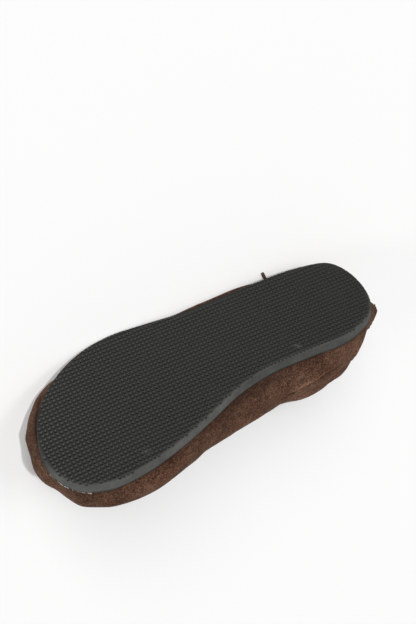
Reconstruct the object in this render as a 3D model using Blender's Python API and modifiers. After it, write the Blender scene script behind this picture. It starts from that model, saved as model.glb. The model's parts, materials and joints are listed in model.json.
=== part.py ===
"""Laced peasant shoe, left foot, lying on its outer side.

The shoe is worked out in its own frame, in millimetres: x runs from the back of the heel to the toe,
y to the outer side of the foot and z up from the tread. A parent empty then lays it on the floor.
"""

import math
from collections import namedtuple

import bmesh
import bpy
import numpy as np
from mathutils import Matrix, Vector

# Driving dimensions, in millimetres and degrees
MM = 0.001
GAP = 0.3
WELD = 0.01
LEAN = 16.0
FLOOR_SOFTNESS = 0.8
SOLE_THICKNESS = 8.5
SOLE_EDGE_FLARE = 1.5
SOLE_LENGTH = 288.4
TOE_SPRING = 4.0
TOE_SPRING_START = 205.0
LEATHER = 2.2
FOOT_INSET = 1.0
LASTING_MARGIN = 11.0
FULLNESS = 0.85
INSOLE_THICKNESS = 3.0
INSOLE_CLEARANCE = 1.2

# The collar's rim flares out above a gathered neck, and both fade towards the throat
COLLAR_FLARE = 3.0
COLLAR_FLARE_REACH = 7.0
NECK_DEPTH = 3.0
NECK_BELOW_RIM = 16.0
NECK_REACH = 7.0
COLLAR_ROWS = 3.2
COLLAR_FADE_ROWS = 1.2

# The closed seam stands out from the inner back of the heel, most of all a little above the sole
SEAM_PLACE = 0.5
SEAM_BASE_WIDTH = 5.4
SEAM_CREST_WIDTH = 3.6
SEAM_FULL_AT = 18.0
SEAM_HEIGHT_AT_SOLE = 3.5
SEAM_HEIGHT_FULL = 8.0
SEAM_HEIGHT_AT_RIM = 2.5

# Three pairs of punched holes, from the ankle down, with the tongue under them
HOLE_PLACES = (4.25, 4.85, 5.45)
HOLE_FROM_EDGE = 8.0
HOLE_RADIUS = 2.2
HOLE_SIDES = 12
PUNCH_LENGTH = 9.0
TONGUE_THICKNESS = 2.0
TONGUE_CLEARANCE = 0.7
TONGUE_PLACES = (4.1, 6.4)
TONGUE_STATIONS = 10
TONGUE_UNDERLAPS = (17, 11, 5)
TONGUE_RISE = 0.08
TONGUE_TIP = 11.0

# The lace, and the route of its loose end over the floor, in the lying shoe's frame
LACE_RADIUS = 1.5
CROSSING_STEPS = 4
LACE_END_STEPS = 2
LACE_END_ROUTE = [
    (-35.4, 35.6, 10.9),
    (-36.7, 38.8, 7.2),
    (-40.2, 43.2, 3.5),
    (-46.0, 47.3, 1.9),
    (-56.0, 50.0, 1.8),
    (-68.0, 49.0, 1.8),
    (-80.0, 45.5, 1.8),
    (-91.0, 39.5, 1.8),
    (-100.0, 31.0, 1.8),
    (-106.0, 21.0, 1.8),
    (-108.0, 10.0, 1.8),
    (-106.5, -0.5, 1.8),
    (-103.0, -10.0, 1.8),
    (-97.5, -19.0, 1.8),
    (-92.0, -25.8, 1.8),
    (-87.5, -31.6, 1.8),
    (-84.7, -38.9, 1.8),
]

# The tread's outline: a row for each section, from the back of the heel to the tip of the toe, with its
# points on the inner and the outer side of the foot.
Tread = namedtuple("Tread", "section inner_x inner_y outer_x outer_y")
TREAD = [
    Tread("heel_back", 0, 0, 0, 0),
    Tread("heel_corner", 9, -26, 9, 27),
    Tread("heel", 38, -36.4, 38, 36.4),
    Tread("waist_rear", 72, -34, 72, 39.5),
    Tread("waist", 105, -32, 105, 40.9),
    Tread("instep", 138, -36, 138, 42.4),
    Tread("throat", 168, -44.8, 168, 46.8),
    Tread("ball", 198, -53, 198, 50.3),
    Tread("ball_front", 230, -58.2, 228, 46.4),
    Tread("toe_side", 259, -56.6, 256, 33.4),
    Tread("toe_corner", 280, -44.5, 277, 13),
    Tread("toe_tip", 288.4, -18, 288.4, -18),
]

# The upper over the same sections. Swell is how far its widest point stands out past the tread and swell_z
# how high above the sole that point is. Top is where the section ends: on the collar's rim, on the
# edge of the throat or on the ridge of the vamp. Turn is how far over it has bent by then, in degrees.
Wall = namedtuple(
    "Wall",
    "section inner_swell inner_swell_z outer_swell outer_swell_z top_x top_inner top_outer top_z turn",
)
WALL = [
    Wall("heel_back", 4, 16, 4, 16, 5, 0, 0, 70, 40),
    Wall("heel_corner", 2.2, 16, 4, 15, 11, -19, 17, 69, 40),
    Wall("heel", 5, 16, 3, 12, 38, -32, 26, 66, 42),
    Wall("waist_rear", 8, 18, 9, 2.5, 70, -31, 34, 68, 48),
    Wall("waist", 11, 20, 9.5, 2.5, 97, -15, 15, 77, 66),
    Wall("instep", 9, 20, 9, 2.5, 130, -8, 8, 73, 80),
    Wall("throat", 6.5, 19, 5.5, 5, 160, 0, 0, 67, 90),
    Wall("ball", 6.5, 17, 3.5, 14, 192, -2, -2, 60, 90),
    Wall("ball_front", 7, 16, 4, 14, 223, -5, -5, 53, 90),
    Wall("toe_side", 4, 15, 9.5, 13, 247, -10, -10, 47, 90),
    Wall("toe_corner", -1.4, 14, 9, 12, 261, -14, -14, 43.5, 90),
    Wall("toe_tip", 4, 13, 4, 13, 267, -16, -16, 42, 90),
]
TOE_ROW = len(TREAD) - 1
RING_ROWS = 2 * TOE_ROW
THROAT_ROW = [row.section for row in TREAD].index("throat")
RIB_STEPS = 3
SLAB_STEPS = 6
SWELL_POINTS = 4
BEND_POINTS = 11
SLOPE_STEP = 0.03

# Linear colour and roughness of each material
SHARP_EDGE = 40.0
MATERIALS = {
    "black_rubber": ((0.038, 0.038, 0.036), 0.55),
    "brown_suede": ((0.095, 0.047, 0.031), 0.95),
    "seam_suede": ((0.080, 0.040, 0.027), 0.95),
    "tongue_suede": ((0.088, 0.043, 0.029), 0.95),
    "insole_leather": ((0.300, 0.190, 0.110), 0.70),
    "lace_leather": ((0.070, 0.034, 0.022), 0.80),
    "lace_end_leather": ((0.070, 0.034, 0.022), 0.80),
}


# The ring of sections: place 0 is the back of the heel, the inner side counts up to the toe's tip and
# the outer side carries on round to the heel again.
def ring_of(table, inner_columns, outer_columns):
    """A table's columns as one closed ring of rows, inner side first."""
    inner = [[getattr(row, c) for c in inner_columns] for row in table]
    outer = [[getattr(row, c) for c in outer_columns] for row in table]
    return np.array(inner + outer[TOE_ROW - 1 : 0 : -1], float)


OUTLINE = ring_of(TREAD, ["inner_x", "inner_y"], ["outer_x", "outer_y"])
SWELL = ring_of(WALL, ["inner_swell", "inner_swell_z"], ["outer_swell", "outer_swell_z"])
TOP = ring_of(WALL, ["top_x", "top_inner", "top_z", "turn"], ["top_x", "top_outer", "top_z", "turn"])


def smooth(ring, place):
    """The ring's value at a place between its rows, on a smooth curve through all of them."""
    row = math.floor(place)
    t = place - row
    before, here, after, beyond = (ring[(row + i) % len(ring)] for i in (-1, 0, 1, 2))
    bend = 2 * before - 5 * here + 4 * after - beyond
    swing = 3 * here - before - 3 * after + beyond
    return here + 0.5 * t * (after - before + t * (bend + t * swing))


def outward(place):
    """The level direction that points out of the outline."""
    along = smooth(OUTLINE, place + SLOPE_STEP) - smooth(OUTLINE, place - SLOPE_STEP)
    return np.array([along[1], -along[0]]) / np.linalg.norm(along)


def outline(place, grow=0.0):
    """A point of the tread's outline, grown or shrunk by some millimetres."""
    return smooth(OUTLINE, place) + grow * outward(place)


def section_end(place):
    """Where a section ends, and its turn. In front of the throat both sides end on one ridge."""
    end = smooth(TOP, place)
    if THROAT_ROW <= place <= RING_ROWS - THROAT_ROW:
        end = (end + smooth(TOP, RING_ROWS - place)) / 2
    return end


def spring(x):
    """How far the sole has lifted off its plane at x."""
    return TOE_SPRING * max(0.0, (x - TOE_SPRING_START) / (SOLE_LENGTH - TOE_SPRING_START)) ** 2


def floor_y(z):
    """How far out the floor is at a height z, with the shoe lying on the outer edge of its sole."""
    sole_edge = max(row.outer_y for row in TREAD) + SOLE_EDGE_FLARE
    return sole_edge - math.tan(math.radians(LEAN)) * (z - SOLE_THICKNESS)


def pressed(y, z):
    """The soft wall gives where it would lie below the floor, with a rounded edge to the flat."""
    clear = floor_y(z) - y
    return y - FLOOR_SOFTNESS * math.log1p(math.exp(-clear / FLOOR_SOFTNESS))


def collar(place, below_rim):
    """How far the collar's rim flares out, or its neck draws in, at some millimetres below the rim."""
    row = min(place, RING_ROWS - place)
    share = 1 - min(1.0, max(0.0, row - COLLAR_ROWS) / COLLAR_FADE_ROWS)
    flare = COLLAR_FLARE * math.exp(-((below_rim / COLLAR_FLARE_REACH) ** 2))
    neck = NECK_DEPTH * math.exp(-(((below_rim - NECK_BELOW_RIM) / NECK_REACH) ** 2))
    return share * (flare - neck)


def rib(place):
    """The upper's outer face along one section, from the sole to its end, as rows of x, y, z.

    It swells out from the foot to its widest point, then bends over to its end.
    """
    foot = outline(place, -FOOT_INSET)
    foot_z = SOLE_THICKNESS + GAP + spring(foot[0])
    swell, swell_z = smooth(SWELL, place)
    end_x, end_y, end_z, turn = section_end(place)
    widest = outline(place, swell)
    over = np.array([end_x, end_y]) - widest
    turned = math.radians(min(turn, 90))
    rows = []
    for share in np.linspace(0, 1, SWELL_POINTS, endpoint=False):
        x, y = foot + (widest - foot) * math.sin(share * math.pi / 2)
        z = foot_z + share * swell_z
        rows.append((x, pressed(y, z), z))
    for angle in np.linspace(0, turned, BEND_POINTS):
        level = (1 - math.cos(angle) ** FULLNESS) / (1 - math.cos(turned) ** FULLNESS)
        rise = (math.sin(angle) / math.sin(turned)) ** FULLNESS
        z = foot_z + swell_z + rise * (end_z - foot_z - swell_z)
        x, y = widest + level * over + collar(place, end_z - z) * outward(place)
        rows.append((x, pressed(y, z), z))
    return np.array(rows)


def wall_point(place, from_edge, lift):
    """A point over the upper's outer face, some millimetres down from its edge, and the face's normal."""
    here = rib(place)[::-1]
    beside = rib(place + SLOPE_STEP)[::-1] - rib(place - SLOPE_STEP)[::-1]
    walked = np.concatenate([[0], np.cumsum(np.linalg.norm(np.diff(here, axis=0), axis=1))])
    row = int(np.searchsorted(walked, from_edge, side="right")) - 1
    share = (from_edge - walked[row]) / (walked[row + 1] - walked[row])
    point = here[row] + share * (here[row + 1] - here[row])
    normal = np.cross(beside[row], here[row] - here[row + 1])
    normal = normal / np.linalg.norm(normal)
    return point + lift * normal, normal


def new_object(name, data, collection):
    obj = bpy.data.objects.new(name, data)
    collection.objects.link(obj)
    return obj


def hide_cutter(obj):
    obj.hide_render = True
    obj.display_type = "WIRE"


def finish(obj, material_name):
    """Give an object its own material and, where it is a mesh, smooth shading."""
    colour, roughness = MATERIALS[material_name]
    material = bpy.data.materials.new(material_name)
    material.use_nodes = True
    shader = material.node_tree.nodes["Principled BSDF"]
    shader.inputs["Base Color"].default_value = (*colour, 1)
    shader.inputs["Roughness"].default_value = roughness
    shader.inputs["Metallic"].default_value = 0
    obj.data.materials.append(material)
    if obj.type == "MESH":
        obj.data.shade_smooth()
        obj.data.set_sharp_from_angle(angle=math.radians(SHARP_EDGE))


def loft(name, grid, collection, round_trip=True):
    """A surface through a grid of points: rows are sections, which close on the first where asked."""
    bm = bmesh.new()
    rows = [[bm.verts.new(Vector(p) * MM) for p in section] for section in grid]
    pairs = zip(rows, rows[1:] + rows[:1]) if round_trip else zip(rows, rows[1:])
    for here, there in pairs:
        for i in range(len(here) - 1):
            bm.faces.new((here[i], there[i], there[i + 1], here[i + 1]))
    bmesh.ops.remove_doubles(bm, verts=bm.verts, dist=WELD * MM)
    bmesh.ops.recalc_face_normals(bm, faces=bm.faces)
    mesh = bpy.data.meshes.new(name)
    bm.to_mesh(mesh)
    bm.free()
    return new_object(name, mesh, collection)


def thicken(obj, thickness):
    """Give an open surface a wall on its inner side."""
    wall = obj.modifiers.new("leather", "SOLIDIFY")
    wall.thickness = thickness * MM
    wall.offset = -1
    wall.use_even_offset = True


def make_slab(name, grow_below, grow_above, low, high, collection):
    """A flat piece with the sole's outline, bent up with the toe spring."""
    grid = []
    for place in np.arange(0, RING_ROWS, 1 / SLAB_STEPS):
        section = []
        for grow, z, inward in ((grow_below, low, (1, 0.5, 0)), (grow_above, high, (0, 0.5, 1))):
            edge = outline(place, grow)
            middle = (edge + outline(RING_ROWS - place, grow)) / 2
            for share in inward:
                x, y = edge + share * (middle - edge)
                section.append((x, y, z + spring(x)))
        grid.append(section)
    return loft(name, grid, collection)


def make_upper(shoe, cutters):
    """One leather shell from the margin turned in under the foot to the collar, with its lace holes."""
    grid = []
    for place in np.arange(0, RING_ROWS, 1 / RIB_STEPS):
        margin_x, margin_y = outline(place, -LASTING_MARGIN)
        margin_z = SOLE_THICKNESS + GAP + spring(margin_x)
        grid.append([(margin_x, margin_y, margin_z), *rib(place)])
    upper = loft("upper", grid, shoe)
    thicken(upper, LEATHER)
    for place in HOLE_PLACES:
        for side in (place, RING_ROWS - place):
            punch = make_punch(side, cutters)
            hole = upper.modifiers.new(punch.name, "BOOLEAN")
            hole.operation = "DIFFERENCE"
            hole.object = punch
    return upper


def make_punch(place, cutters):
    """A round punch through the upper at one lace hole."""
    point, normal = wall_point(place, HOLE_FROM_EDGE, -LEATHER / 2)
    turn = Vector(normal).to_track_quat("Z", "Y").to_matrix().to_4x4()
    bm = bmesh.new()
    bmesh.ops.create_cone(
        bm,
        cap_ends=True,
        segments=HOLE_SIDES,
        radius1=HOLE_RADIUS * MM,
        radius2=HOLE_RADIUS * MM,
        depth=PUNCH_LENGTH * MM,
        matrix=Matrix.Translation(Vector(point) * MM) @ turn,
    )
    mesh = bpy.data.meshes.new("punch")
    bm.to_mesh(mesh)
    bm.free()
    punch = new_object("punch", mesh, cutters)
    hide_cutter(punch)
    return punch


def make_tongue(shoe):
    """A leather strip under the facings, fixed under the vamp and free at its tip."""
    inside = -(LEATHER + TONGUE_CLEARANCE)
    grid = []
    for place in np.linspace(*TONGUE_PLACES, TONGUE_STATIONS):
        inner = [wall_point(place, d, inside)[0] for d in TONGUE_UNDERLAPS]
        outer = [wall_point(RING_ROWS - place, d, inside)[0] for d in TONGUE_UNDERLAPS[::-1]]
        edges = [section_end(side)[:3] for side in (place, RING_ROWS - place)]
        crown = TONGUE_RISE * np.linalg.norm(edges[0] - edges[1]) / 2
        middle = (edges[0] + edges[1]) / 2 + np.array([0, 0, inside + crown])
        grid.append(np.array([*inner, middle, *outer]))
    centre = len(TONGUE_UNDERLAPS)
    along = grid[0][centre] - grid[1][centre]
    tip = grid[0] + TONGUE_TIP * along / np.linalg.norm(along)
    tongue = loft("tongue", [tip, *grid], shoe, round_trip=False)
    thicken(tongue, TONGUE_THICKNESS)
    return tongue


def make_heel_seam(shoe):
    """The two edges of the upper, closed together and standing out from the heel."""
    rows = rib(SEAM_PLACE)
    out = np.append(outward(SEAM_PLACE), 0)
    half_base = SEAM_BASE_WIDTH / 2 * np.array([-out[1], out[0], 0])
    half_crest = half_base * SEAM_CREST_WIDTH / SEAM_BASE_WIDTH
    levels = (rows[0][2], SEAM_FULL_AT, rows[-1][2])
    heights = (SEAM_HEIGHT_AT_SOLE, SEAM_HEIGHT_FULL, SEAM_HEIGHT_AT_RIM)
    sections = []
    for row in rows:
        height = np.interp(row[2], levels, heights)
        base = row + GAP * out
        crest = base + height * out
        sections.append([base - half_base, crest - half_crest, crest + half_crest, base + half_base])
    ends = [np.mean(sections[i], axis=0) for i in (0, -1)]
    corners = [[ends[0], *line, ends[1]] for line in zip(*sections)]
    return loft("heel_seam", corners, shoe)


def make_cord(name, route, steps, collection):
    """A round cord along a smooth curve through a route's points."""
    route = np.array(route, float)
    padded = np.array([2 * route[0] - route[1], *route, 2 * route[-1] - route[-2]])
    places = np.linspace(1, len(route), (len(route) - 1) * steps + 1)
    curve = bpy.data.curves.new(name, "CURVE")
    curve.dimensions = "3D"
    curve.bevel_depth = LACE_RADIUS * MM
    curve.bevel_resolution = 2
    curve.use_fill_caps = True
    spline = curve.splines.new("POLY")
    spline.points.add(len(places) - 1)
    for target, place in zip(spline.points, places):
        target.co = (*(smooth(padded, place) * MM), 1)
    return new_object(name, curve, collection)


def crossing_route(inner_hole, outer_hole):
    """From a hole on the inner facing, over both edges of the throat, to one on the outer facing."""
    lift = LACE_RADIUS + GAP
    inner = [wall_point(inner_hole, d, lift)[0] for d in (HOLE_FROM_EDGE, 0)]
    outer = [wall_point(RING_ROWS - outer_hole, d, lift)[0] for d in (0, HOLE_FROM_EDGE)]
    middle = (inner[1] + outer[0]) / 2 + np.array([0, 0, LACE_RADIUS])
    return [*inner, middle, *outer]


def as_mesh(curve):
    """A curve object's evaluated mesh, with its caps welded on."""
    bpy.context.view_layer.update()
    mesh = bpy.data.meshes.new_from_object(curve.evaluated_get(bpy.context.evaluated_depsgraph_get()))
    bm = bmesh.new()
    bm.from_mesh(mesh)
    bmesh.ops.remove_doubles(bm, verts=bm.verts, dist=WELD * MM)
    bmesh.ops.recalc_face_normals(bm, faces=bm.faces)
    bm.to_mesh(mesh)
    bm.free()
    return mesh


def make_strand(pair, name, collection):
    """One strand of the lace from an inner to an outer hole, as a mesh."""
    curve = make_cord("strand_path", crossing_route(*pair), CROSSING_STEPS, collection)
    strand = new_object(name, as_mesh(curve), collection)
    strand.matrix_world = curve.matrix_world
    bpy.data.objects.remove(curve)
    return strand


def make_lace_crossings(shoe, cutters):
    """A bar over the lowest holes and two crosses above it, joined where they meet."""
    high, middle, low = HOLE_PLACES
    lace = make_strand((low, low), "lace_crossings", shoe)
    for pair in ((low, middle), (middle, low), (middle, high), (high, middle)):
        strand = make_strand(pair, "strand", cutters)
        hide_cutter(strand)
        join = lace.modifiers.new(strand.name, "BOOLEAN")
        join.operation = "UNION"
        join.object = strand
    return lace


def lay_down(shoe, cutters):
    """Roll the shoe on to its outer side and centre it on the floor."""
    side = bpy.data.objects.new("lying_shoe", None)
    side.rotation_euler = (-math.radians(90 + LEAN), 0, 0)
    for obj in [*shoe.objects, *cutters.objects]:
        obj.parent = side
    solids = list(shoe.objects)
    shoe.objects.link(side)
    bpy.context.view_layer.update()
    view = bpy.context.evaluated_depsgraph_get()
    corners = []
    for obj in solids:
        solid = obj.evaluated_get(view)
        corners += [solid.matrix_world @ v.co for v in solid.to_mesh().vertices]
    low, high = np.min(corners, axis=0), np.max(corners, axis=0)
    side.location = (-(low[0] + high[0]) / 2, -(low[1] + high[1]) / 2, -low[2])


def main():
    for obj in list(bpy.data.objects):
        bpy.data.objects.remove(obj)
    shoe = bpy.data.collections.new("laced_peasant_shoe")
    cutters = bpy.data.collections.new("cutters")
    for collection in (shoe, cutters):
        bpy.context.scene.collection.children.link(collection)

    finish(make_slab("outsole", 0, SOLE_EDGE_FLARE, 0, SOLE_THICKNESS, shoe), "black_rubber")
    finish(make_upper(shoe, cutters), "brown_suede")
    insole_z = SOLE_THICKNESS + GAP + LEATHER + GAP
    shrink = -(FOOT_INSET + LEATHER + INSOLE_CLEARANCE)
    insole = make_slab("insole", shrink, shrink, insole_z, insole_z + INSOLE_THICKNESS, shoe)
    finish(insole, "insole_leather")
    finish(make_tongue(shoe), "tongue_suede")
    finish(make_heel_seam(shoe), "seam_suede")
    finish(make_lace_crossings(shoe, cutters), "lace_leather")
    lay_down(shoe, cutters)
    finish(make_cord("lace_end", LACE_END_ROUTE, LACE_END_STEPS, shoe), "lace_end_leather")


main()
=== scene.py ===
"""Looks of a laced peasant shoe, left foot, that lies on its outer side on a pale floor."""

import json
import math
import random
from collections import namedtuple

import bmesh
import bpy
from mathutils import Matrix, Vector, noise
from mathutils.bvhtree import BVHTree


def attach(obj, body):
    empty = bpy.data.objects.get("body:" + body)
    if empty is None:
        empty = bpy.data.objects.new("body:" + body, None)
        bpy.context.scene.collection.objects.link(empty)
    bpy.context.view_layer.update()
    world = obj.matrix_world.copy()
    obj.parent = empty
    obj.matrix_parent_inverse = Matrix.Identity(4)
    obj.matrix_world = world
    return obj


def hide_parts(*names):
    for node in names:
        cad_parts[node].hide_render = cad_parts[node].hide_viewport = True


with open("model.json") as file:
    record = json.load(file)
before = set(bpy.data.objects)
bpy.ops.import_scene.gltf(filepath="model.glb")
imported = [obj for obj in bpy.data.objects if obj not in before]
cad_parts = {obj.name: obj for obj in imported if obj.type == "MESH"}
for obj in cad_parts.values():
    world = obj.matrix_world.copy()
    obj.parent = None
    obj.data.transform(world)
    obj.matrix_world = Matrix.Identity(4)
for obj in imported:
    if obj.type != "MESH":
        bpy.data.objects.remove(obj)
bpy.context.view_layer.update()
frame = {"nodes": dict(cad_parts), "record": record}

# The camera looks down on the tread from the toe's end. It is rolled over, so that the toe
# points to the lower left of the picture and the inner side of the shoe lies along the bottom.
CAMERA_PLACE = Vector((0.3680, -0.6597, 0.6870))
CAMERA_AIM = Vector((-0.0332, -0.0242, 0.0))
CAMERA_ROLL = math.radians(132.2)
CAMERA_LENS = 75.34

scene = bpy.context.scene
camera = bpy.data.objects.new("camera", bpy.data.cameras.new("camera"))
scene.collection.objects.link(camera)
camera.data.lens = CAMERA_LENS
aim = (CAMERA_AIM - CAMERA_PLACE).to_track_quat("-Z", "Y").to_matrix().to_4x4()
camera.matrix_world = Matrix.Translation(CAMERA_PLACE) @ aim @ Matrix.Rotation(CAMERA_ROLL, 4, "Z")
scene.camera = camera

# The sole is die-cut from a sheet of black moulded rubber and cemented to the upper. Its tread is a
# waffle of small four-sided pits, set a few degrees askew. The knife leaves a smooth grey band around
# its edge, and rubber dust on the tread's rim along the inner side.
MM = 0.001
WELD_GAP = 0.01
HEEL_TO_MOUNT = 120.0
PIT_PITCH = 3.2
PIT_DEPTH = 1.05
PIT_TURN = math.radians(3.3)
PITS_ALONG = 98
PITS_ACROSS = 42
RIDGE_WIDTH = 0.5
FIELD_CENTRE = (144.0, -4.0)
TREAD_CLEARANCE = 0.06
RIM_WIDTH = 1.0
SHEET_TOP = 24.0
TOE_SPRING = 4.0
TOE_SPRING_START = 205.0
SOLE_LENGTH = 288.4
BAND_STEEPNESS = 0.5
SOLE_THICKNESS = 8.5
TOE_TRIM = 1.5
TOE_TRIM_START = 255.0
TRIM_LEVEL = 0.9
TOE_MIDDLE = Vector((235, -14, 0))
# The cut edge is painted dark round the outer toe, as painted shade where it lies under the bulging suede
TOE_DARK_START = -30.0
TOE_DARK_SPAN = 14.0
TOE_DARKNESS = 0.92

# Pale scuffs on the tread: a line in the shoe's frame, how wide it is and how pale
SCUFFS = [
    ([(77.5, -26.6), (80.5, -25.2)], 1.9, 1.0),
    ([(223.4, -49.2), (226.0, -48.3)], 2.2, 0.7),
]
SCUFF_COLOUR = (0.045, 0.044, 0.040, 1)
RIM_DUST_COLOUR = (0.05, 0.0495, 0.0445, 1)
RIM_DUST_WIDTH = 2.2
RIM_DUST_LEVEL = 0.3
RIM_DUST_FADE = 35.0
# Where the painted shade line along the cut edge's top begins, as a share of its height
SHADE_LINE_START = 0.8
DUST_CLOUD_SCALE = 38.0
DUST_SPECK_SCALE = 420.0
DUSTY_FROM = (0.35, 0.75)
DUST_ROUGHNESS = 0.25
GRAIN_SCALE = 1400.0
GRAIN_HEIGHT = 0.0002

# How pale the cut edge is along the shoe: places along it and tones
EDGE_TONES = [(30, 0.95), (52, 0.88), (90, 0.78), (120, 0.85), (168, 1.45), (200, 1.3), (242, 1.1)]

# The shoe's own frame, in millimetres: x to the toe, y to the outer side, z up from the tread
tread_face = frame["record"]["mounts"][0]
shoe_up = -Vector(tread_face["axis"]).normalized()
shoe_toe = Vector((1, 0, 0))
shoe_outer = shoe_up.cross(shoe_toe)
heel_back = Vector(tread_face["pos_m"]) - HEEL_TO_MOUNT * MM * shoe_toe
shoe_axes = Matrix((shoe_toe, shoe_outer, shoe_up)).transposed().to_4x4()
shoe_to_floor = Matrix.Translation(heel_back) @ shoe_axes @ Matrix.Scale(MM, 4)


def packed_copy(node):
    """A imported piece's mesh in the shoe's frame, with its loose triangles merged."""
    bm = bmesh.new()
    bm.from_mesh(frame["nodes"][node].data)
    bmesh.ops.remove_doubles(bm, verts=bm.verts, dist=WELD_GAP * MM)
    bmesh.ops.transform(bm, matrix=shoe_to_floor.inverted(), verts=bm.verts)
    bm.normal_update()
    return bm


def lay_on_floor(name, bm):
    """Turn a mesh from the shoe's frame to the floor's and make an object of it."""
    bmesh.ops.transform(bm, matrix=shoe_to_floor, verts=bm.verts)
    mesh = bpy.data.meshes.new(name)
    bm.to_mesh(mesh)
    bm.free()
    piece = bpy.data.objects.new(name, mesh)
    scene.collection.objects.link(piece)
    return piece


def settled_mesh(piece):
    """A piece's mesh as its modifiers leave it."""
    bpy.context.view_layer.update()
    return bpy.data.meshes.new_from_object(piece.evaluated_get(bpy.context.evaluated_depsgraph_get()))


def add_node(tree, kind, values=None, links=None, **settings):
    """A shader node with some of its inputs set and others linked."""
    made = tree.nodes.new(kind)
    for name, value in settings.items():
        setattr(made, name, value)
    for name, value in (values or {}).items():
        made.inputs[name].default_value = value
    for name, socket in (links or {}).items():
        tree.links.new(socket, made.inputs[name])
    return made


def new_group(name, inputs, outputs):
    """An empty shader node group with its named sockets, and its two end nodes."""
    tree = bpy.data.node_groups.new(name, "ShaderNodeTree")
    for socket, kind, value in inputs:
        made = tree.interface.new_socket(socket, in_out="INPUT", socket_type=kind)
        made.default_value = value
    for socket, kind in outputs:
        tree.interface.new_socket(socket, in_out="OUTPUT", socket_type=kind)
    return tree, tree.nodes.new("NodeGroupInput"), tree.nodes.new("NodeGroupOutput")


def new_material(name, **values):
    """A material and its Principled BSDF, with the values that are the same all over it."""
    material = bpy.data.materials.new(name)
    material.use_nodes = True
    shader = material.node_tree.nodes["Principled BSDF"]
    for socket, value in values.items():
        shader.inputs[socket.replace("_", " ")].default_value = value
    return material, material.node_tree, shader


def rubber_skin_group():
    """Rubber with a fine grain, dusty patches, a few pale scuffs and, where asked, a dusty rim."""
    tree, ends_in, ends_out = new_group(
        "rubber_skin",
        [
            ("Rubber", "NodeSocketColor", (0.02, 0.02, 0.02, 1)),
            ("Dust", "NodeSocketColor", (0.05, 0.05, 0.045, 1)),
            ("Dust Amount", "NodeSocketFloat", 0.5),
            ("Roughness", "NodeSocketFloat", 0.45),
            ("Rim Dust", "NodeSocketFloat", 0.0),
        ],
        [("Color", "NodeSocketColor"), ("Roughness", "NodeSocketFloat"), ("Height", "NodeSocketFloat")],
    )
    place = add_node(tree, "ShaderNodeTexCoord").outputs["Object"]
    cloud = add_node(
        tree,
        "ShaderNodeTexNoise",
        {"Scale": DUST_CLOUD_SCALE, "Detail": 5, "Roughness": 0.65},
        {"Vector": place},
    )
    grain = add_node(
        tree, "ShaderNodeTexNoise", {"Scale": GRAIN_SCALE, "Detail": 3, "Roughness": 0.7}, {"Vector": place}
    )
    speck = add_node(
        tree, "ShaderNodeTexNoise", {"Scale": DUST_SPECK_SCALE, "Detail": 2}, {"Vector": place}
    )
    dusty = add_node(
        tree,
        "ShaderNodeMapRange",
        {"From Min": DUSTY_FROM[0], "From Max": DUSTY_FROM[1]},
        {"Value": cloud.outputs["Fac"], "To Max": ends_in.outputs["Dust Amount"]},
    )
    grained = add_node(
        tree,
        "ShaderNodeMath",
        links={0: dusty.outputs["Result"], 1: speck.outputs["Fac"]},
        operation="MULTIPLY",
    )
    colour = add_node(
        tree,
        "ShaderNodeMix",
        links={
            "Factor": grained.outputs["Value"],
            "A": ends_in.outputs["Rubber"],
            "B": ends_in.outputs["Dust"],
        },
        data_type="RGBA",
    )
    scuff = add_node(tree, "ShaderNodeAttribute", attribute_name="scuff")
    rim = add_node(tree, "ShaderNodeAttribute", attribute_name="rim_dust")
    rim_share = add_node(
        tree,
        "ShaderNodeMath",
        links={0: rim.outputs["Fac"], 1: ends_in.outputs["Rim Dust"]},
        operation="MULTIPLY",
    )
    marks = ((scuff.outputs["Fac"], SCUFF_COLOUR), (rim_share.outputs["Value"], RIM_DUST_COLOUR))
    for share, mark_colour in marks:
        colour = add_node(
            tree,
            "ShaderNodeMix",
            {"B": mark_colour},
            {"Factor": share, "A": colour.outputs["Result"]},
            data_type="RGBA",
        )
    rough = add_node(
        tree,
        "ShaderNodeMath",
        {1: DUST_ROUGHNESS},
        {0: grained.outputs["Value"], 2: ends_in.outputs["Roughness"]},
        operation="MULTIPLY_ADD",
    )
    tree.links.new(colour.outputs["Result"], ends_out.inputs["Color"])
    tree.links.new(rough.outputs["Value"], ends_out.inputs["Roughness"])
    tree.links.new(grain.outputs["Fac"], ends_out.inputs["Height"])
    return tree


rubber_skin = rubber_skin_group()


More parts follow.
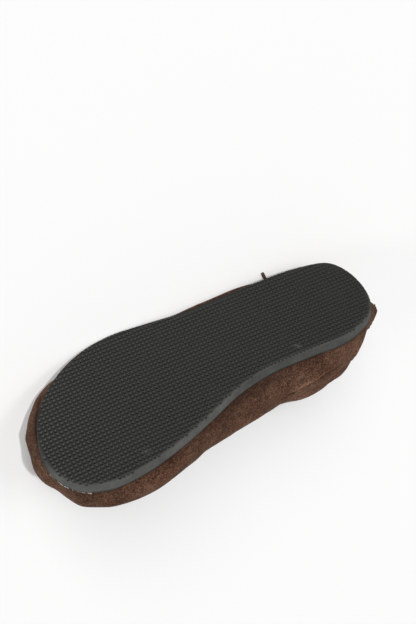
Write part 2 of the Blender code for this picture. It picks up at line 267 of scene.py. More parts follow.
def rubber(name, colour, dust, dust_amount, roughness, bump, shade_line=0.0, rim_dust=0.0):
    """One finish of the rubber sheet: the moulded tread, its upper face, or the cut edge.

    The cut edge has a painted shade line along its top, where it meets the upper, and its tone changes
    along the shoe.
    """
    material, tree, shader = new_material(name, Specular_IOR_Level=0.3)
    skin = add_node(tree, "ShaderNodeGroup", node_tree=rubber_skin)
    skin.inputs["Rubber"].default_value = (*colour, 1)
    skin.inputs["Dust"].default_value = (*dust, 1)
    skin.inputs["Dust Amount"].default_value = dust_amount
    skin.inputs["Roughness"].default_value = roughness
    skin.inputs["Rim Dust"].default_value = rim_dust
    relief = add_node(
        tree,
        "ShaderNodeBump",
        {"Strength": bump, "Distance": GRAIN_HEIGHT},
        {"Height": skin.outputs["Height"]},
    )
    surface = skin.outputs["Color"]
    # A painted shade line along the cut edge's top, where it meets the upper
    if shade_line:
        height = add_node(tree, "ShaderNodeAttribute", attribute_name="edge_height")
        line = add_node(
            tree,
            "ShaderNodeMapRange",
            {"From Min": SHADE_LINE_START, "From Max": 1.0, "To Min": 1.0, "To Max": 1.0 - shade_line},
            {"Value": height.outputs["Fac"]},
        )
        along = add_node(tree, "ShaderNodeAttribute", attribute_name="edge_tone")
        for tone in (line.outputs["Result"], along.outputs["Fac"]):
            surface = add_node(
                tree,
                "ShaderNodeMix",
                {"Factor": 1.0},
                {"A": surface, "B": tone},
                data_type="RGBA",
                blend_type="MULTIPLY",
            ).outputs["Result"]
    tree.links.new(surface, shader.inputs["Base Color"])
    tree.links.new(skin.outputs["Roughness"], shader.inputs["Roughness"])
    tree.links.new(relief.outputs["Normal"], shader.inputs["Normal"])
    return material


def reach_of(point, line):
    """How far a point is from a line of points, and how far along the line it lies, from 0 to 1."""
    best, along = math.inf, 0.0
    for i, (start, end) in enumerate(zip(line, line[1:])):
        run = end - start
        share = min(1.0, max(0.0, (point - start).dot(run) / run.length_squared))
        gap = (point - start - share * run).length
        if gap < best:
            best, along = gap, (i + share) / (len(line) - 1)
    return best, along


def scuff_at(spot):
    """How pale the tread is scuffed at a spot, from 0 to 1."""
    flat = Vector((spot.x, spot.y, 0))
    marks = []
    for points, width, paleness in SCUFFS:
        gap, _ = reach_of(flat, [Vector((*point, 0)) for point in points])
        marks.append(paleness * max(0.0, 1 - gap / width))
    return max(marks)


def toe_share(x):
    """How far x lies along the trimmed toe, from 0 to 1."""
    return min(1.0, max(0.0, (x - TOE_TRIM_START) / (SOLE_LENGTH - TOE_TRIM_START)))


def edge_tone_at(spot):
    """How pale the cut edge is at a spot: round the outer toe it is painted dark, as painted shade."""
    tone = EDGE_TONES[0][1]
    for (start, before), (end, after) in zip(EDGE_TONES, EDGE_TONES[1:]):
        share = min(1.0, max(0.0, (spot.x - start) / (end - start)))
        tone += share * (after - before)
    outward = min(1.0, max(0.0, (spot.y - TOE_DARK_START) / TOE_DARK_SPAN))
    return tone * (1 - TOE_DARKNESS * toe_share(spot.x) * outward)


def toe_spring(x):
    """How far the sole has lifted off its plane at x."""
    return TOE_SPRING * max(0.0, (x - TOE_SPRING_START) / (SOLE_LENGTH - TOE_SPRING_START)) ** 2


def edge_tree():
    """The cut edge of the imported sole, to measure from."""
    bm = packed_copy("outsole")
    flat = [face for face in bm.faces if abs(face.normal.z) > BAND_STEEPNESS]
    bmesh.ops.delete(bm, geom=flat, context="FACES")
    tree = BVHTree.FromBMesh(bm)
    bm.free()
    return tree


def tread_sheet():
    """A slab of the moulded sheet, tread down, larger than the sole."""
    bm = bmesh.new()
    span = Matrix.Diagonal((PITS_ALONG * PIT_PITCH / 2, PITS_ACROSS * PIT_PITCH / 2, 1, 1))
    bmesh.ops.create_grid(bm, x_segments=PITS_ALONG, y_segments=PITS_ACROSS, size=1, matrix=span)
    pits = bm.faces[:]
    bmesh.ops.inset_individual(bm, faces=pits, thickness=RIDGE_WIDTH / 2, use_even_offset=True)
    pit_floors = bmesh.ops.poke(bm, faces=pits, offset=PIT_DEPTH)["verts"]
    turn = Matrix.Rotation(PIT_TURN, 4, "Z")
    place = Matrix.Translation((*FIELD_CENTRE, TREAD_CLEARANCE))
    bmesh.ops.transform(bm, matrix=place @ turn, verts=bm.verts)
    field = bm.verts[:]
    rim = [edge for edge in bm.edges if edge.is_boundary]
    raised = bmesh.ops.extrude_edge_only(bm, edges=rim)["geom"]
    for vert in raised:
        if isinstance(vert, bmesh.types.BMVert):
            vert.co.z = SHEET_TOP
    bmesh.ops.contextual_create(bm, geom=[e for e in raised if isinstance(e, bmesh.types.BMEdge)])
    for vert in field:
        vert.co.z += toe_spring(vert.co.x)
    cut_edge = edge_tree()
    for vert in pit_floors:
        if cut_edge.find_nearest(vert.co)[3] < RIM_WIDTH:
            vert.co.z -= PIT_DEPTH
    bmesh.ops.recalc_face_normals(bm, faces=bm.faces)
    return bm


sole = lay_on_floor("sole", tread_sheet())
knife = lay_on_floor("knife", packed_copy("outsole"))
die_cut = sole.modifiers.new("die_cut", "BOOLEAN")
die_cut.operation = "INTERSECT"
die_cut.object = knife
cut_mesh = settled_mesh(sole)
sole.modifiers.remove(die_cut)
bpy.data.objects.remove(knife)
sole.data = cut_mesh
sole.data.name = "sole"
sole.data.materials.clear()
moulded_tread = rubber(
    "moulded_tread",
    colour=(0.006, 0.006, 0.0046),
    dust=(0.018, 0.0178, 0.0152),
    dust_amount=0.4,
    roughness=0.35,
    bump=0.15,
    rim_dust=1.0,
)
cut_band = rubber(
    "cut_edge",
    colour=(0.058, 0.058, 0.0545),
    dust=(0.165, 0.165, 0.153),
    dust_amount=0.9,
    roughness=0.7,
    bump=0.6,
    shade_line=0.8,
)
sole_top = rubber(
    "sole_top",
    colour=(0.014, 0.014, 0.014),
    dust=(0.035, 0.035, 0.035),
    dust_amount=0.5,
    roughness=0.7,
    bump=0.3,
)
for finish in (moulded_tread, cut_band, sole_top):
    sole.data.materials.append(finish)
for face in sole.data.polygons:
    rise = face.normal.dot(shoe_up)
    face.material_index = 0 if rise < -BAND_STEEPNESS else 1 if rise < BAND_STEEPNESS else 2
    face.use_smooth = face.material_index == 1
marks = sole.data.attributes
for mark in ("edge_height", "edge_tone", "scuff", "rim_dust"):
    marks.new(mark, "FLOAT", "POINT")
cut_edge = edge_tree()
for vert in sole.data.vertices:
    spot = shoe_to_floor.inverted() @ vert.co
    level = spot.z - toe_spring(spot.x)
    marks["edge_height"].data[vert.index].value = level / SOLE_THICKNESS
    marks["edge_tone"].data[vert.index].value = edge_tone_at(spot)
    marks["scuff"].data[vert.index].value = scuff_at(spot)
    if level < RIM_DUST_LEVEL and spot.y < 0:
        gap = cut_edge.find_nearest(spot)[3]
        inner_share = min(1.0, -spot.y / RIM_DUST_FADE)
        marks["rim_dust"].data[vert.index].value = inner_share * max(0.0, 1 - gap / RIM_DUST_WIDTH)
    if level > TRIM_LEVEL * SOLE_THICKNESS:
        inward = TOE_MIDDLE - spot
        inward.z = 0
        spot += TOE_TRIM * toe_share(spot.x) * inward.normalized()
        vert.co = shoe_to_floor @ spot
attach(sole, "root")
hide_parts("outsole")

# The upper is one piece of brown suede, drawn round the last and turned in under the foot. It is soft
# and unlined, so its sides sag into shallow folds, and its collar and throat are plain cut edges.
SUEDE_STEPS = 2
FOOT_AXIS = (Vector((22, 0, 36)), Vector((262, -15, 27)))
SAG_SIZE = 26.0
SAG_DEPTH = 0.5
RIPPLE_SIZE = 8.0
RIPPLE_DEPTH = 0.16
FLOOR_CLEARANCE = 0.0002
QUAD_ANGLE = math.radians(60)
NAP_SCALE = 900.0
NAP_SHARE = 0.55
NAP_HEIGHT = 0.0008
CLUMP_SCALE = 230.0
CLUMP_SHARE = 0.2
PATCH_SCALE = 45.0
PATCH_SHARE = 0.25
DARK_TO_BROWN = (0.40, 0.50)
BROWN_TO_PALE = (0.50, 0.63)
# Painted shade on the suede: heights above the tread in millimetres and the factors there, darkest at the
# sole's edge
PAINTED_SHADE_LEVELS = (9.0, 44.0)
PAINTED_SHADE_TONES = (0.52, 1.3)
FOLD_CONTRAST = 0.45
FOLD_FADE = 5.0
FOLD_REFINE = 7.0
FOLD_REACH = 3.0
NARROW_FOLD = 2.2

# Each fold runs through some points of the upper, in the shoe's frame. Width and depth are in
# millimetres. A ridge or a swell has a depth below zero, and a depth of zero is only a place of painted
# light or painted shade. Tone is how much painted light it gets, or painted shade where it is below zero.
Fold = namedtuple("Fold", "name points width depth tone")
FOLDS = [
    Fold(
        "quarter_ridge",
        [(104, -43, 36), (92, -42.5, 32), (78, -42, 32), (64, -42, 30), (42, -42, 26)],
        2.1,
        -1.5,
        1.05,
    ),
    Fold(
        "quarter_groove",
        [(104, -43, 41), (90, -41, 37), (76, -41, 36.5), (62, -41, 34.5), (42, -41, 30)],
        2.7,
        1.9,
        -1.0,
    ),
    Fold("collar_roll", [(92, -37, 50), (74, -38, 49), (54, -38, 47), (40, -38, 44)], 6.0, -1.6, 0.4),
    Fold("heel_groove", [(36, -40, 44), (27, -38.5, 33), (18, -36, 20)], 2.6, 1.4, -0.6),
    Fold("heel_ridge", [(30, -39, 45), (22, -37, 34), (13, -33, 21)], 2.6, -1.0, 0.8),
    Fold("heel_hollow", [(19, -34, 8), (20, -35, 20), (22, -36, 34)], 6.0, 1.2, 0.0),
    Fold("collar_tuck", [(34, -36, 44), (39, -36, 57), (43, -36, 68)], 7.0, 2.0, 0.0),
    Fold("collar_swell", [(52, -36, 56), (66, -36, 60), (80, -34, 63)], 7.0, -1.2, 0.0),
    Fold("throat_tuck", [(90, -39, 30), (96, -41, 42), (99, -37, 56)], 5.0, 2.8, -0.3),
    Fold("waist_swell", [(108, -42, 44), (134, -44, 41), (160, -49, 35)], 9.0, -2.0, 0.0),
    Fold("ball_tuck", [(173, -48, 14), (172, -52, 33), (170, -46, 52)], 8.0, 1.1, 0.0),
    Fold("toe_corner_swell", [(278, -45, 12), (276, -47, 27), (268, -42, 46)], 8.0, -2.0, 0.0),
    Fold("toe_dent", [(288, -29, 12), (288.5, -29, 26), (278, -26, 44)], 8.0, 2.4, 0.0),
    # Painted light on the heel, the rear and the front, and painted shade at the waist and round the toe,
    # with no change of shape
    Fold("heel_painted_light", [(46, -40, 16), (28, -37, 24), (14, -32, 32)], 11.0, 0.0, 1.1),
    Fold("rear_painted_light", [(88, -38, 18), (66, -39, 16), (50, -40, 16)], 7.0, 0.0, 0.4),
    Fold("waist_shade", [(88, -36, 11), (112, -36, 12), (140, -38, 11), (164, -44, 11)], 7.0, 0.0, -1.0),
    Fold("front_painted_light", [(178, -53, 24), (202, -60, 21), (228, -62, 18), (254, -61, 18)], 8.0, 0.0, 1.0),
    Fold("toe_shade", [(291, -14, 16), (285, 9, 17), (268, 34, 16)], 8.0, 0.0, -0.7),
    Fold("toe_pleat", [(284, 15, 10), (285, 15, 20), (278, 14, 34)], 4.5, -1.3, 0.2),
    Fold("toe_pleat_dent", [(290.5, 2, 10), (290.5, 2, 22), (284, 2, 36)], 5.0, 0.8, -0.3),
    # A painted shadow line on the suede along the sole's edge round the toe, over a shallow groove
    Fold(
        "toe_shadow_line",
        [(290, -16, 12), (284, 5, 13), (277, 18, 13.3), (270, 28, 13.8), (258, 39, 16)],
        1.6,
        0.4,
        -2.0,
    ),
    Fold("outer_toe_swell", [(272, 32, 12), (256, 41, 17), (240, 46, 22)], 9.0, -2.0, 0.0),
]


def soften(bm):
    """Join a packed copy's triangles back to quads and smooth it as a subdivision surface."""
    bmesh.ops.join_triangles(
        bm,
        faces=bm.faces[:],
        angle_face_threshold=QUAD_ANGLE,
        angle_shape_threshold=QUAD_ANGLE,
    )
    cage = bpy.data.objects.new("cage", bpy.data.meshes.new("cage"))
    scene.collection.objects.link(cage)
    bm.to_mesh(cage.data)
    smooth = cage.modifiers.new("smooth", "SUBSURF")
    smooth.levels = SUEDE_STEPS
    smooth.render_levels = SUEDE_STEPS
    bm.clear()
    bm.from_mesh(settled_mesh(cage))
    bpy.data.objects.remove(cage)


def refine(bm, fold):
    """Split the faces along a narrow fold, so that it can bend."""
    line = [Vector(p) for p in fold.points]
    near = {face for face in bm.faces if reach_of(face.calc_center_median(), line)[0] < FOLD_REFINE}
    edges = [edge for edge in bm.edges if any(face in near for face in edge.link_faces)]
    bmesh.ops.subdivide_edges(bm, edges=edges, cuts=1, use_grid_fill=True)


def faces_foot(point, normal):
    """Whether a spot of the upper looks in at the foot's axis."""
    back, front = FOOT_AXIS
    share = min(1.0, max(0.0, (point - back).dot(front - back) / (front - back).length_squared))
    return normal.dot(back.lerp(front, share) - point) > 0


def push_out(vert, distance):
    """Move a spot of the leather away from the foot, on its inner face as on its outer one."""
    vert.co += (-distance if faces_foot(vert.co, vert.normal) else distance) * vert.normal


def lay_folds(bm, folds):
    """Press each fold into the leather as a soft trough that fades out at its ends."""
    bm.normal_update()
    tone = bm.verts.layers.float.new("fold_light_and_shade")
    moves = {}
    for fold in folds:
        line = [Vector(p) for p in fold.points]
        for vert in bm.verts:
            gap, along = reach_of(vert.co, line)
            if gap < FOLD_REACH * fold.width:
                fade = min(1.0, FOLD_FADE * along * (1 - along))
                share = fade * math.exp(-((gap / fold.width) ** 2))
                moves[vert] = moves.get(vert, 0.0) - fold.depth * share
                # Each fold also paints light on its crests and shade in its troughs through its tone
                vert[tone] += fold.tone * share
    for vert, distance in moves.items():
        push_out(vert, distance)


def sag(bm):
    """Let the leather sag and ripple a little, as hand-drawn suede does."""
    bm.normal_update()
    for vert in bm.verts:
        slack = SAG_DEPTH * noise.noise(vert.co / SAG_SIZE)
        slack += RIPPLE_DEPTH * noise.noise(vert.co / RIPPLE_SIZE)
        push_out(vert, slack)


def shade_smooth(bm):
    """Let the light run smoothly over a mesh's faces."""
    for face in bm.faces:
        face.smooth = True


def suede_nap_group():
    """Suede: a brushed nap with pale fibres over clumps and patches of redder and paler brown.

    Towards the sole's edge it is painted darker, as painted shade, and higher up the side paler, as painted
    light.
    """
    tree, ends_in, ends_out = new_group(
        "suede_nap",
        [
            ("Dark", "NodeSocketColor", (0.018, 0.0075, 0.0045, 1)),
            ("Brown", "NodeSocketColor", (0.066, 0.03, 0.0175, 1)),
            ("Pale", "NodeSocketColor", (0.15, 0.082, 0.052, 1)),
        ],
        [("Color", "NodeSocketColor"), ("Height", "NodeSocketFloat")],
    )
    place = add_node(tree, "ShaderNodeTexCoord").outputs["Object"]
    nap = add_node(
        tree, "ShaderNodeTexNoise", {"Scale": NAP_SCALE, "Detail": 2, "Roughness": 0.6}, {"Vector": place}
    )
    clump = add_node(
        tree, "ShaderNodeTexNoise", {"Scale": CLUMP_SCALE, "Detail": 3, "Roughness": 0.6}, {"Vector": place}
    )
    patch = add_node(tree, "ShaderNodeTexNoise", {"Scale": PATCH_SCALE, "Detail": 3}, {"Vector": place})
    blend = None
    for source, share in ((nap, NAP_SHARE), (clump, CLUMP_SHARE), (patch, PATCH_SHARE)):
        links = {0: source.outputs["Fac"]}
        if blend:
            links[2] = blend.outputs["Value"]
        blend = add_node(tree, "ShaderNodeMath", {1: share, 2: 0.0}, links, operation="MULTIPLY_ADD")
    colour = ends_in.outputs["Dark"]
    for tone, (start, end) in (("Brown", DARK_TO_BROWN), ("Pale", BROWN_TO_PALE)):
        share = add_node(
            tree,
            "ShaderNodeMapRange",
            {"From Min": start, "From Max": end},
            {"Value": blend.outputs["Value"]},
        )
        colour = add_node(
            tree,
            "ShaderNodeMix",
            links={"Factor": share.outputs["Result"], "A": colour, "B": ends_in.outputs[tone]},
            data_type="RGBA",
        ).outputs["Result"]
    # Painted shade by height above the tread: darker at the sole's edge, paler higher up
    height = add_node(tree, "ShaderNodeVectorMath", {1: shoe_up}, {0: place}, operation="DOT_PRODUCT")
    start, end = (heel_back.dot(shoe_up) + MM * level for level in PAINTED_SHADE_LEVELS)
    sole_painted_shade = add_node(
        tree,
        "ShaderNodeMapRange",
        {"From Min": start, "From Max": end, "To Min": PAINTED_SHADE_TONES[0], "To Max": PAINTED_SHADE_TONES[1]},
        {"Value": height.outputs["Value"]},
    )
    # The folds' painted light and painted shade multiply the colour
    fold = add_node(tree, "ShaderNodeAttribute", attribute_name="fold_light_and_shade")
    painted_fold_shading = add_node(
        tree,
        "ShaderNodeMath",
        {1: FOLD_CONTRAST, 2: 1.0},
        {0: fold.outputs["Fac"]},
        operation="MULTIPLY_ADD",
    )
    for tone in (sole_painted_shade.outputs["Result"], painted_fold_shading.outputs["Value"]):
        colour = add_node(
            tree,
            "ShaderNodeMix",
            {"Factor": 1.0},
            {"A": colour, "B": tone},
            data_type="RGBA",
            blend_type="MULTIPLY",
        ).outputs["Result"]
    tree.links.new(colour, ends_out.inputs["Color"])
    tree.links.new(blend.outputs["Value"], ends_out.inputs["Height"])
    return tree


suede_nap = suede_nap_group()


def suede(name, dark, brown, pale, bump=0.8):
    """A suede of some brown, with its nap as relief and a soft sheen."""
    material, tree, shader = new_material(
        name,
        Roughness=0.95,
        Specular_IOR_Level=0.12,
        Sheen_Weight=0.35,
        Sheen_Roughness=0.6,
        Sheen_Tint=(*pale, 1),
    )
    nap = add_node(tree, "ShaderNodeGroup", node_tree=suede_nap)
    for socket, colour in (("Dark", dark), ("Brown", brown), ("Pale", pale)):
        nap.inputs[socket].default_value = (*colour, 1)
    relief = add_node(
        tree,
        "ShaderNodeBump",
        {"Strength": bump, "Distance": NAP_HEIGHT},
        {"Height": nap.outputs["Height"]},
    )
    tree.links.new(nap.outputs["Color"], shader.inputs["Base Color"])
    tree.links.new(relief.outputs["Normal"], shader.inputs["Normal"])
    return material


leather = packed_copy("upper")
soften(leather)
for fold in FOLDS:
    if fold.width < NARROW_FOLD:
        refine(leather, fold)
lay_folds(leather, FOLDS)
sag(leather)
leather.normal_update()
for face in leather.faces:
    face.material_index = int(faces_foot(face.calc_center_median(), face.normal))
shade_smooth(leather)
upper = lay_on_floor("upper_suede", leather)
for vert in upper.data.vertices:
    vert.co.z = max(vert.co.z, FLOOR_CLEARANCE)
brown_suede = suede(
    "brown_suede",
    dark=(0.028, 0.0113, 0.0067),
    brown=(0.083, 0.0383, 0.0229),
    pale=(0.18, 0.103, 0.068),
)
flesh_side = suede(
    "flesh_side",
    dark=(0.06, 0.033, 0.021),
    brown=(0.13, 0.078, 0.05),
    pale=(0.22, 0.145, 0.10),
)
upper.data.materials.append(brown_suede)
upper.data.materials.append(flesh_side)
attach(upper, "root")
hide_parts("upper")

# Specks of dried cement, squeezed out between the sole and the suede at the inner toe.
SPECK_SEED = 5
SPECK_COUNT = 60
SPECK_SIZES = (0.2, 0.5)
SPECK_STRETCH = (0.8, 1.8)
SPECK_FLATNESS = 0.6
SPECK_LIFT = 0.25
SPECK_LINE = [(288, -25), (284.5, -37.5), (280, -44.5), (276, -49), (271.5, -52.7)]


def cement_specks():
    """Small flattened beads strewn along the sole's upper edge."""
    strewn = random.Random(SPECK_SEED)
    line = [Vector((*point, 0)) for point in SPECK_LINE]
    bm = bmesh.new()
    for _ in range(SPECK_COUNT):
        along = strewn.random() * (len(line) - 1)
        row = int(along)
        spot = line[row].lerp(line[row + 1], along - row)
        spot.z = SOLE_THICKNESS + toe_spring(spot.x) + SPECK_LIFT
        size = strewn.uniform(*SPECK_SIZES)
        shape = Matrix.Diagonal((size * strewn.uniform(*SPECK_STRETCH), size, SPECK_FLATNESS * size, 1))
        turn = Matrix.Rotation(strewn.uniform(0, math.pi), 4, "Z")
        place = Matrix.Translation(spot) @ turn @ shape
        bmesh.ops.create_icosphere(bm, subdivisions=2, radius=1, matrix=place)
    shade_smooth(bm)
    return bm


specks = lay_on_floor("cement_specks", cement_specks())
cement, _, _ = new_material("dried_cement", Base_Color=(0.3, 0.28, 0.26, 1), Roughness=0.4)
specks.data.materials.append(cement)
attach(specks, "root")

# The heel seam closes the two edges of the upper. Both plies are turned out, sewn through with waxed
# thread and trimmed, so a raw double edge stands out from the inner back of the heel.
SEAM_OUT = Vector((-0.93, -0.37, 0.0))
SEAM_CREST_FACING = 0.75
SEAM_STAND_OUT = 1.6
PLY_THICKNESS = 1.2
PLY_GROOVE = 1.5
STITCH_LEVELS = range(16, 66, 5)
STITCH_SIZE = (0.55, 0.5, 1.7)
STITCH_FROM_CREST = 0.55
STITCH_SLICE = 3.0
STITCH_CAST = 20.0


def seam_stitches(plies):
    """A row of thread stitches on each side of the seam, set on the plies."""
    tree = BVHTree.FromBMesh(plies)
    side = Vector((-SEAM_OUT.y, SEAM_OUT.x, 0.0)).normalized()
    bm = bmesh.new()
    for level in STITCH_LEVELS:
        near = [v.co for v in plies.verts if abs(v.co.z - level) < STITCH_SLICE]
        centre = sum(near, Vector()) / len(near)
        crest = max(near, key=lambda co: co.dot(SEAM_OUT))
        centre += STITCH_FROM_CREST * (crest - centre).dot(SEAM_OUT) * SEAM_OUT
        for way in (side, -side):
            point, _, _, _ = tree.ray_cast(centre + STITCH_CAST * way, -way)
            if point:
                turn = Matrix.Translation(point) @ way.to_track_quat("X", "Z").to_matrix().to_4x4()
                size = Matrix.Diagonal((*STITCH_SIZE, 1))
                bmesh.ops.create_uvsphere(bm, u_segments=10, v_segments=8, radius=1, matrix=turn @ size)
    shade_smooth(bm)
    return bm


plies = packed_copy("heel_seam")
crest_faces = [face for face in plies.faces if face.normal.dot(SEAM_OUT) > SEAM_CREST_FACING]
crest_verts = [vert for vert in plies.verts if any(face in crest_faces for face in vert.link_faces)]
bmesh.ops.translate(plies, verts=crest_verts, vec=SEAM_STAND_OUT * SEAM_OUT)
bmesh.ops.inset_region(plies, faces=crest_faces, thickness=PLY_THICKNESS, depth=-PLY_GROOVE)
soften(plies)
sag(plies)
shade_smooth(plies)
stitches = lay_on_floor("seam_stitches", seam_stitches(plies))
thread, _, _ = new_material("waxed_thread", Base_Color=(0.035, 0.02, 0.013, 1), Roughness=0.5)
stitches.data.materials.append(thread)
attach(stitches, "root")
seam = lay_on_floor("seam_plies", plies)
seam_suede = suede(
    "seam_suede",
    dark=(0.04, 0.02, 0.013),
    brown=(0.115, 0.062, 0.041),
    pale=(0.21, 0.13, 0.09),
)
seam.data.materials.append(seam_suede)
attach(seam, "root")
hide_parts("heel_seam")

# The insole is a plain sheet of tan leather that lies on the turned-in margin of the upper.
insole = frame["nodes"]["insole"]
insole.data.materials.clear()
insole_leather = suede(
    "insole_leather",
    dark=(0.16, 0.09, 0.05),
    brown=(0.28, 0.175, 0.10),
    pale=(0.36, 0.24, 0.15),
)
insole.data.materials.append(insole_leather)

# The tongue is a strip of the same suede under the facings. The lace presses it a little way in.
TONGUE_PRESSED_IN = 2.0

strip = packed_copy("tongue")
bmesh.ops.translate(strip, verts=strip.verts, vec=(0, 0, -TONGUE_PRESSED_IN))
soften(strip)
sag(strip)
shade_smooth(strip)
tongue = lay_on_floor("tongue_suede", strip)
tongue_suede = suede(
    "tongue_suede",
    dark=(0.020, 0.0095, 0.006),
    brown=(0.05, 0.026, 0.017),
    pale=(0.11, 0.068, 0.047),
)
tongue.data.materials.append(tongue_suede)
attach(tongue, "root")
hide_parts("tongue")

# The lace is one square-cut leather thong through three pairs of punched holes: a bar over the lowest
# pair and two crosses above it. One end stops at its top hole and the other comes out of its own.
THONG_WIDTH = 2.6
THONG_THICKNESS = 2.2
THONG_SIDES = 16
THONG_SQUARENESS = 0.6
THONG_STEPS = 8
UPPER_WALL = 2.2
THONG_LIFT = 1.4
THONG_UNDER = 3.6
STUB_LENGTH = 4.0
CROSSING_LIFT = 2.3

# Each hole's centre, the way that it faces and the edge of the throat beside it, in the shoe's frame
LACE_HOLES = {
    "inner_high": ((106.7, -20.2, 73.9), (0.15, -0.45, 0.88), (104.9, -12.6, 77.0)),
    "outer_high": ((106.4, 20.0, 73.9), (0.15, 0.49, 0.86), (104.9, 12.4, 77.0)),
    "inner_mid": ((126.5, -16.7, 72.0), (0.18, -0.31, 0.93), (125.2, -9.0, 73.8)),
    "outer_mid": ((126.5, 16.6, 71.8), (0.21, 0.21, 0.95), (125.2, 9.0, 73.8)),
    "inner_low": ((144.6, -11.8, 69.7), (0.22, -0.07, 0.97), (143.6, -3.9, 70.5)),
    "outer_low": ((144.7, 12.0, 69.5), (0.23, 0.09, 0.97), (143.6, 4.1, 70.5)),
}

# The loose end's route over the floor, in the floor's frame and in millimetres
LACE_END_ROUTE = [
    (-35.4, 35.6, 10.9),
    (-36.7, 38.8, 7.2),
    (-40.2, 43.2, 3.5),
    (-46.0, 47.3, 1.9),
    (-56.0, 50.0, 1.8),
    (-68.0, 49.0, 1.8),
    (-80.0, 45.5, 1.8),
    (-91.0, 39.5, 1.8),
    (-100.0, 31.0, 1.8),
    (-106.0, 21.0, 1.8),
    (-108.0, 10.0, 1.8),
    (-106.5, -0.5, 1.8),
    (-103.0, -10.0, 1.8),
    (-97.5, -19.0, 1.8),
    (-92.0, -25.8, 1.8),
    (-87.5, -31.6, 1.8),
    (-84.7, -38.9, 1.8),
]


def through_hole(name, outside_first):
    """The lace's points at one hole: along the facing's edge, over it, through it and under it."""
    centre, normal, edge = (Vector(v) for v in LACE_HOLES[name])
    up = Vector((0, 0, 1))
    points = [
        edge + THONG_LIFT * up,
        centre + THONG_LIFT * normal,
        centre - UPPER_WALL / 2 * normal,
        centre - THONG_UNDER * normal,
        edge - THONG_UNDER * up,
    ]
    return points if outside_first else points[::-1]


def crossing(before, after, lift):
    """The middle of a strand that crosses the throat, lifted over the strand or the tongue below it."""
    return [(before + after) / 2 + Vector((0, 0, lift))]


def smooth_line(points, steps):
    """More points on a smooth curve through some points."""
    points = [2 * points[0] - points[1], *points, 2 * points[-1] - points[-2]]
    line = []
    for before, here, after, beyond in zip(points, points[1:], points[2:], points[3:]):
        for step in range(steps):
            t = step / steps
            bend = 2 * before - 5 * here + 4 * after - beyond
            swing = 3 * here - before - 3 * after + beyond
            line.append(here + 0.5 * t * (after - before + t * (bend + t * swing)))
    return [*line, points[-2]]


def thong(line, flat_side):
    """A square-cut thong along a line, its width turned towards the flat side's direction."""
    frames = []
    for i, point in enumerate(line):
        along = (line[min(i + 1, len(line) - 1)] - line[max(i - 1, 0)]).normalized()
        side = (flat_side - flat_side.dot(along) * along).normalized()
        axes = Matrix((THONG_WIDTH / 2 * side, THONG_THICKNESS / 2 * along.cross(side), along))
        frames.append(Matrix.Translation(point) @ axes.transposed().to_4x4())
    bm = bmesh.new()
    ring = bmesh.ops.create_circle(bm, segments=THONG_SIDES, radius=1)["verts"]
    for vert in ring:
        for axis in (0, 1):
            vert.co[axis] = math.copysign(abs(vert.co[axis]) ** THONG_SQUARENESS, vert.co[axis])
    bmesh.ops.transform(bm, matrix=frames[0], verts=ring)
    edges = bm.edges[:]
    for here, there in zip(frames, frames[1:]):
        grown = bmesh.ops.extrude_edge_only(bm, edges=edges)["geom"]
        edges = [e for e in grown if isinstance(e, bmesh.types.BMEdge)]
        ring = [v for v in grown if isinstance(v, bmesh.types.BMVert)]
        bmesh.ops.transform(bm, matrix=there @ here.inverted(), verts=ring)
    shade_smooth(bm)
    bmesh.ops.holes_fill(bm, edges=[e for e in bm.edges if e.is_boundary])
    bmesh.ops.recalc_face_normals(bm, faces=bm.faces)
    return bm


def laced_route(loose_start):
    """The lace from its cut end at the inner top hole, through all the holes, to its loose end."""
    first = through_hole("inner_high", True)[1:]
    stub = [first[0] + STUB_LENGTH * Vector(LACE_HOLES["inner_high"][1])]
    second = through_hole("outer_mid", True)
    third = through_hole("inner_low", False)
    fourth = through_hole("outer_low", True)
    fifth = through_hole("inner_mid", False)
    last = through_hole("outer_high", False)[:-1]
    route = stub + first + crossing(first[-1], second[0], 0)
    route += second + crossing(second[-1], third[0], 0)
    route += third + crossing(third[-1], fourth[0], 0)
    route += fourth + crossing(fourth[-1], fifth[0], CROSSING_LIFT)
    route += fifth + crossing(fifth[-1], last[0], CROSSING_LIFT)
    return route + last + [loose_start]


thong_leather = suede(
    "lace_leather",
    dark=(0.05, 0.024, 0.016),
    brown=(0.12, 0.06, 0.041),
    pale=(0.19, 0.11, 0.08),
    bump=0.2,
)
loose_route = [Vector(point) for point in LACE_END_ROUTE]
loose_start = shoe_to_floor.inverted() @ (MM * loose_route[0])
crossings = thong(smooth_line(laced_route(loose_start), THONG_STEPS), Vector((1, 0, 0)))
lace = lay_on_floor("lace", crossings)
lace.data.materials.append(thong_leather)
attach(lace, "root")
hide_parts("lace_crossings")

loose_line = smooth_line(loose_route, THONG_STEPS)
loose = thong(loose_line, Vector((0, 0, 1)))
bmesh.ops.scale(loose, vec=(MM, MM, MM), verts=loose.verts)
bmesh.ops.transform(loose, matrix=shoe_to_floor.inverted(), verts=loose.verts)
lace_end = lay_on_floor("lace_end_thong", loose)
lace_end.data.materials.append(thong_leather)
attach(lace_end, "root")
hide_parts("lace_end")

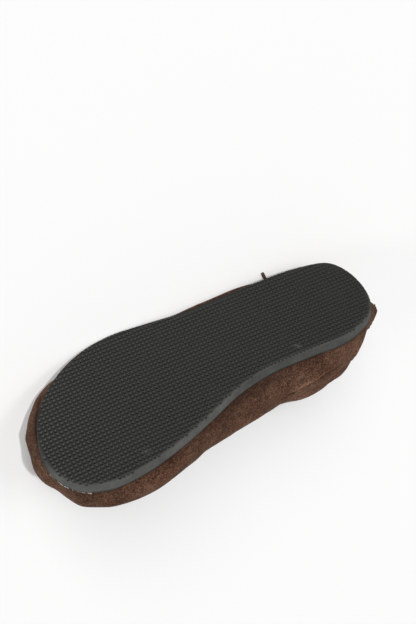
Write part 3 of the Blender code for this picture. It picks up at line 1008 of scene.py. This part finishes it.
# The floor is a plain pale sheet. A small lamp stands near the camera and leaves a narrow shadow at the
# toe's left, with a broad fill light behind it. A large low light in front of the sole darkens the floor
# behind the shoe a little, a softbox over the heel glints in the tread, and a weak one lights the toe.
FLOOR_SIZE = 60.0
LAMP_FROM = Vector((0.156, -0.611, 0.776))
LAMP_SPREAD = 0.031
LAMP_STRENGTH = 1.48
FILL_FROM = Vector((0.238, -0.701, 0.672))
FILL_SPREAD = 0.156
FILL_STRENGTH = 0.653
FRONT_FROM = Vector((0.255, -0.842, 0.475))
FRONT_SPREAD = 0.455
FRONT_STRENGTH = 1.33
SOFTBOX_FROM = Vector((-0.287, -0.452, 0.845))
SOFTBOX_SPREAD = 0.383
SOFTBOX_STRENGTH = 0.42
SIDE_FROM = Vector((0.88, -0.32, 0.35))
SIDE_SPREAD = 0.278
SIDE_STRENGTH = 0.34
DOME_STRENGTH = 0.2

bm = bmesh.new()
bmesh.ops.create_grid(bm, x_segments=1, y_segments=1, size=FLOOR_SIZE / 2)
floor_mesh = bpy.data.meshes.new("floor")
bm.to_mesh(floor_mesh)
bm.free()
floor = bpy.data.objects.new("floor", floor_mesh)
scene.collection.objects.link(floor)
pale, _, _ = new_material("pale_floor", Base_Color=(0.93, 0.93, 0.925, 1), Roughness=0.9)
floor.data.materials.append(pale)


def add_light(name, direction, spread, strength):
    """A far light that shines from one direction, softened by its spread in radians."""
    light = bpy.data.objects.new(name, bpy.data.lights.new(name, "SUN"))
    light.data.angle = spread
    light.data.energy = strength
    light.matrix_world = (-direction).to_track_quat("-Z", "Y").to_matrix().to_4x4()
    scene.collection.objects.link(light)


add_light("lamp", LAMP_FROM, LAMP_SPREAD, LAMP_STRENGTH)
add_light("fill", FILL_FROM, FILL_SPREAD, FILL_STRENGTH)
add_light("front", FRONT_FROM, FRONT_SPREAD, FRONT_STRENGTH)
add_light("softbox", SOFTBOX_FROM, SOFTBOX_SPREAD, SOFTBOX_STRENGTH)
add_light("side", SIDE_FROM, SIDE_SPREAD, SIDE_STRENGTH)
dome = bpy.data.worlds.new("dome")
dome.use_nodes = True
dome.node_tree.nodes["Background"].inputs["Color"].default_value = (1, 1, 1, 1)
dome.node_tree.nodes["Background"].inputs["Strength"].default_value = DOME_STRENGTH
scene.world = dome
scene.view_settings.view_transform = "Standard"
